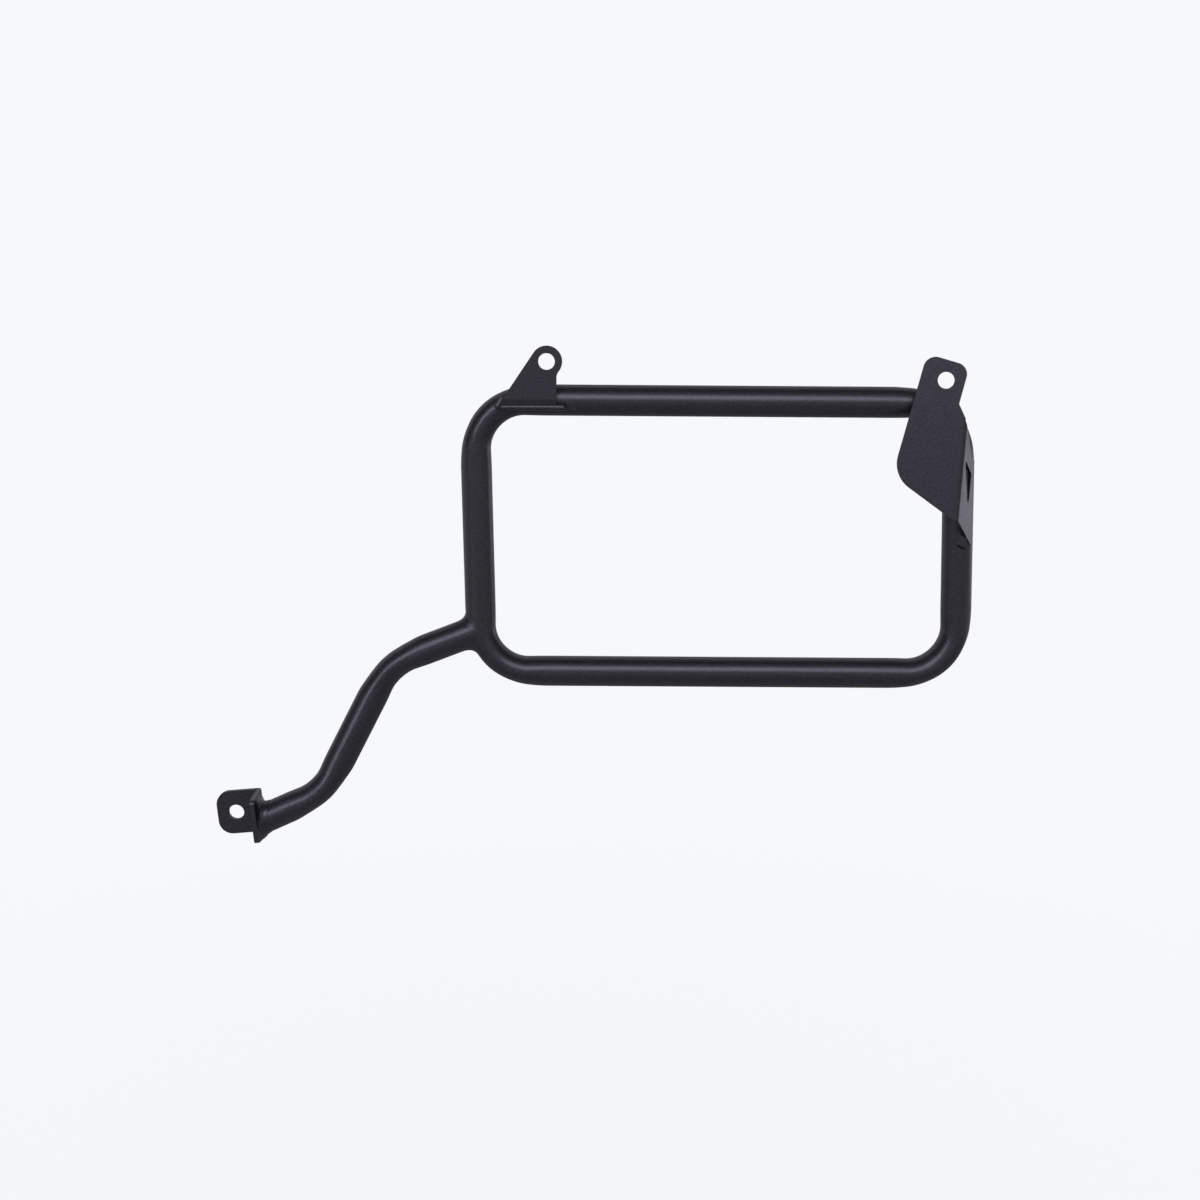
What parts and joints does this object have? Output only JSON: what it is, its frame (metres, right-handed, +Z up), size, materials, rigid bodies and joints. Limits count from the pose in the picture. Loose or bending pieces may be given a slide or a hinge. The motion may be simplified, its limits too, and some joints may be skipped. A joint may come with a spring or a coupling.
{
  "type": "motorcycle pannier frame",
  "caption": "Bent steel tube loop with a forward stay and bolt-on sheet brackets, which holds a soft bag off a motorcycle's side, in black powder coat.",
  "frame": {"origin": "centre of the front upper bolt hole, on the face that meets the motorcycle", "axes": "+X to the rear along the loop's rails, +Y away from the motorcycle, +Z up"},
  "size_m": [0.4797, 0.0373, 0.3161],
  "materials": {
    "powder_coat": "semi-matt black powder coat with a fine texture"
  },
  "bodies": {
    "root": {"loop_tube": "powder_coat", "closing_weld": "powder_coat", "stay_tube": "powder_coat", "stay_weld": "powder_coat", "front_tab": "powder_coat", "front_tab_weld": "powder_coat", "rear_bracket": "powder_coat", "rear_bracket_weld": "powder_coat", "lower_bracket": "powder_coat", "lower_bracket_weld": "powder_coat"}
  },
  "joints": []
}
